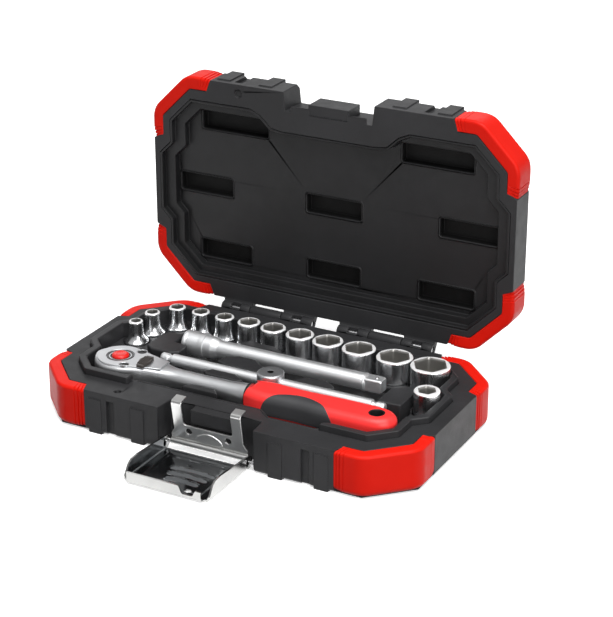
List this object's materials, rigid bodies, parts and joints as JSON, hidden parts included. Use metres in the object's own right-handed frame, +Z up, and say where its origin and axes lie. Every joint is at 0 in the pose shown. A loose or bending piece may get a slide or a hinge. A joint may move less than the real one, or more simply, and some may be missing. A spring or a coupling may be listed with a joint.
{
  "type": "socket wrench set in case",
  "caption": "Socket wrench set in a hinged plastic case: ratchet, sockets, bit adapter, extension bar and sliding T-handle in a moulded tray, with a steel claw latch.",
  "frame": {"origin": "centre of the case's footprint, on the plane the skids rest on", "axes": "+Z up, -Y towards the latch (front), +X to the right along the case's long side; the lid stands open at a right angle at +Y"},
  "size_m": [0.192, 0.1683, 0.1347],
  "materials": {
    "case_plastic": "fine-textured charcoal plastic, semi-matte",
    "tray_plastic": "fine-textured black plastic",
    "liner_plastic": "fine-textured black plastic",
    "guard_red": "bright red, semi-gloss",
    "plain_steel": "plain steel",
    "latch_steel": "bright plated sheet steel",
    "tool_chrome": "polished chrome",
    "ball_steel": "polished steel balls",
    "satin_chrome": "satin chrome",
    "button_red": "red, semi-gloss",
    "lever_plastic": "dark grey",
    "grip_red": "bright red, semi-gloss",
    "grip_rubber": "dark grey rubber"
  },
  "bodies": {
    "case_base": {"base_shell": "case_plastic", "tool_tray": "tray_plastic", "base_guard_front_left": "guard_red", "base_guard_front_right": "guard_red", "base_guard_rear_left": "guard_red", "base_guard_rear_right": "guard_red", "latch_pivot_pins": "plain_steel"},
    "lid": {"lid_shell": "case_plastic", "lid_liner": "liner_plastic", "lid_guard_front_left": "guard_red", "lid_guard_front_right": "guard_red", "lid_guard_rear_left": "guard_red", "lid_guard_rear_right": "guard_red", "hinge_pin_left": "plain_steel", "hinge_pin_right": "plain_steel"},
    "latch_lever": {"latch_lever": "latch_steel", "claw_pin": "plain_steel"},
    "latch_claw": {"latch_claw": "latch_steel"},
    "socket_04_mm": {"socket_04_mm": "tool_chrome"},
    "socket_04_5_mm": {"socket_04_5_mm": "tool_chrome"},
    "socket_05_mm": {"socket_05_mm": "tool_chrome"},
    "socket_05_5_mm": {"socket_05_5_mm": "tool_chrome"},
    "socket_06_mm": {"socket_06_mm": "tool_chrome"},
    "socket_07_mm": {"socket_07_mm": "tool_chrome"},
    "socket_08_mm": {"socket_08_mm": "tool_chrome"},
    "socket_09_mm": {"socket_09_mm": "tool_chrome"},
    "socket_10_mm": {"socket_10_mm": "tool_chrome"},
    "socket_11_mm": {"socket_11_mm": "tool_chrome"},
    "socket_12_mm": {"socket_12_mm": "tool_chrome"},
    "socket_13_mm": {"socket_13_mm": "tool_chrome"},
    "bit_adapter": {"bit_adapter": "tool_chrome"},
    "extension": {"extension_bar": "tool_chrome", "extension_ball": "ball_steel"},
    "t_handle": {"t_bar_slider": "tool_chrome", "slider_ball": "ball_steel"},
    "t_bar": {"t_bar": "tool_chrome"},
    "ratchet": {"ratchet_body": "satin_chrome", "ratchet_cover": "satin_chrome", "cover_screws": "plain_steel", "grip_shell": "grip_red", "grip_inset": "grip_rubber"},
    "ratchet_drive": {"drive_gear": "satin_chrome", "drive_ball": "ball_steel", "button_spring": "plain_steel"},
    "release_button": {"release_button": "button_red"},
    "selector": {"reversing_lever": "lever_plastic", "pawl": "satin_chrome"}
  },
  "joints": [
    {"name": "lid_hinge", "type": "hinge", "parent": "case_base", "child": "lid", "pos_m": [0, 0.0592, 0.0195], "axis": [-1, 0, 0], "range_deg": [-90, 0]},
    {"name": "latch_lever_pivot", "type": "hinge", "parent": "case_base", "child": "latch_lever", "pos_m": [0, -0.054, 0.0038], "axis": [1, 0, 0], "range_deg": [-90, 0]},
    {"name": "latch_claw_pivot", "type": "hinge", "parent": "latch_lever", "child": "latch_claw", "pos_m": [0, -0.05183, 0.00418], "axis": [1, 0, 0], "range_deg": [0, 80.5]},
    {"name": "lift_socket_04_mm", "type": "slide", "parent": "case_base", "child": "socket_04_mm", "axis": [0, 0, 1], "range_m": [0, 0.04]},
    {"name": "lift_socket_04_5_mm", "type": "slide", "parent": "case_base", "child": "socket_04_5_mm", "axis": [0, 0, 1], "range_m": [0, 0.04]},
    {"name": "lift_socket_05_mm", "type": "slide", "parent": "case_base", "child": "socket_05_mm", "axis": [0, 0, 1], "range_m": [0, 0.04]},
    {"name": "lift_socket_05_5_mm", "type": "slide", "parent": "case_base", "child": "socket_05_5_mm", "axis": [0, 0, 1], "range_m": [0, 0.04]},
    {"name": "lift_socket_06_mm", "type": "slide", "parent": "case_base", "child": "socket_06_mm", "axis": [0, 0, 1], "range_m": [0, 0.04]},
    {"name": "lift_socket_07_mm", "type": "slide", "parent": "case_base", "child": "socket_07_mm", "axis": [0, 0, 1], "range_m": [0, 0.04]},
    {"name": "lift_socket_08_mm", "type": "slide", "parent": "case_base", "child": "socket_08_mm", "axis": [0, 0, 1], "range_m": [0, 0.04]},
    {"name": "lift_socket_09_mm", "type": "slide", "parent": "case_base", "child": "socket_09_mm", "axis": [0, 0, 1], "range_m": [0, 0.04]},
    {"name": "lift_socket_10_mm", "type": "slide", "parent": "case_base", "child": "socket_10_mm", "axis": [0, 0, 1], "range_m": [0, 0.04]},
    {"name": "lift_socket_11_mm", "type": "slide", "parent": "case_base", "child": "socket_11_mm", "axis": [0, 0, 1], "range_m": [0, 0.04]},
    {"name": "lift_socket_12_mm", "type": "slide", "parent": "case_base", "child": "socket_12_mm", "axis": [0, 0, 1], "range_m": [0, 0.04]},
    {"name": "lift_socket_13_mm", "type": "slide", "parent": "case_base", "child": "socket_13_mm", "axis": [0, 0, 1], "range_m": [0, 0.04]},
    {"name": "lift_bit_adapter", "type": "slide", "parent": "case_base", "child": "bit_adapter", "axis": [0, 0, 1], "range_m": [0, 0.04]},
    {"name": "lift_extension", "type": "slide", "parent": "case_base", "child": "extension", "axis": [0, 0, 1], "range_m": [0, 0.04]},
    {"name": "lift_t_handle", "type": "slide", "parent": "case_base", "child": "t_handle", "axis": [0, 0, 1], "range_m": [0, 0.04]},
    {"name": "lift_ratchet", "type": "slide", "parent": "case_base", "child": "ratchet", "axis": [0, 0, 1], "range_m": [0, 0.04]},
    {"name": "t_bar_slide", "type": "slide", "parent": "t_handle", "child": "t_bar", "axis": [1, 0, 0], "range_m": [-0.004, 0.015]},
    {"name": "drive_spin", "type": "hinge", "parent": "ratchet", "child": "ratchet_drive", "pos_m": [-0.063, -0.025, 0.013], "axis": [0, 0, 1], "continuous": true},
    {"name": "release_press", "type": "slide", "parent": "ratchet_drive", "child": "release_button", "axis": [0, 0, -1], "range_m": [0, 0.0012], "stiffness_N_per_m": 300, "springref_m": -0.001, "deforming": ["button_spring"]},
    {"name": "selector_turn", "type": "hinge", "parent": "ratchet", "child": "selector", "pos_m": [-0.0475, -0.025, 0.0254], "axis": [0, 0, 1], "range_deg": [-12, 12]}
  ],
  "couplings": [
    {"joint": "latch_claw_pivot", "follows": "latch_lever_pivot", "ratio": -0.8889}
  ]
}
